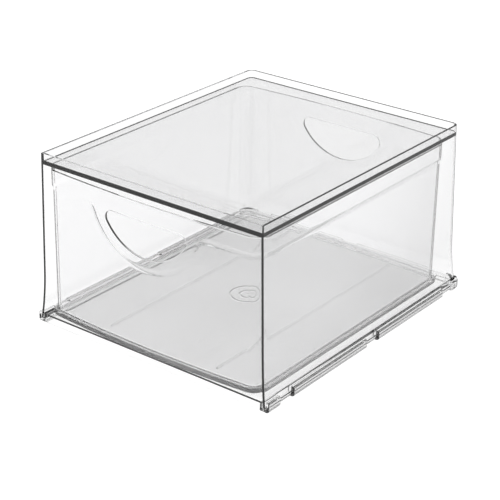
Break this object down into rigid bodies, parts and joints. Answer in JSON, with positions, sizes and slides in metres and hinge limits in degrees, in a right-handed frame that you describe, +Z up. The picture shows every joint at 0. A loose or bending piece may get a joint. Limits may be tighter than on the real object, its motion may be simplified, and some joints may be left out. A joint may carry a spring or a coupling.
{
  "type": "clear drawer shoe box",
  "caption": "Clear plastic shoe box: an open-front sleeve with a stacking lip, a clip-on base with side connector rails, and a slide-out drawer with a half-moon grip at each end.",
  "frame": {"origin": "on the table, under the middle of the closed box's bounding box", "axes": "+X to the right seen from the front, +Y from the drawer's front to the back, +Z up; the drawer opens towards -Y"},
  "size_m": [0.304, 0.3628, 0.1915],
  "materials": {
    "clear_sleeve": "clear, polished",
    "clear_base": "clear, lightly frosted plate",
    "clear_drawer": "clear, lightly frosted floor"
  },
  "bodies": {
    "shell": {"sleeve": "clear_sleeve", "base": "clear_base"},
    "tray": {"drawer": "clear_drawer"}
  },
  "joints": [
    {"name": "drawer_slide", "type": "slide", "parent": "shell", "child": "tray", "axis": [0, -1, 0], "range_m": [0, 0.3]}
  ]
}
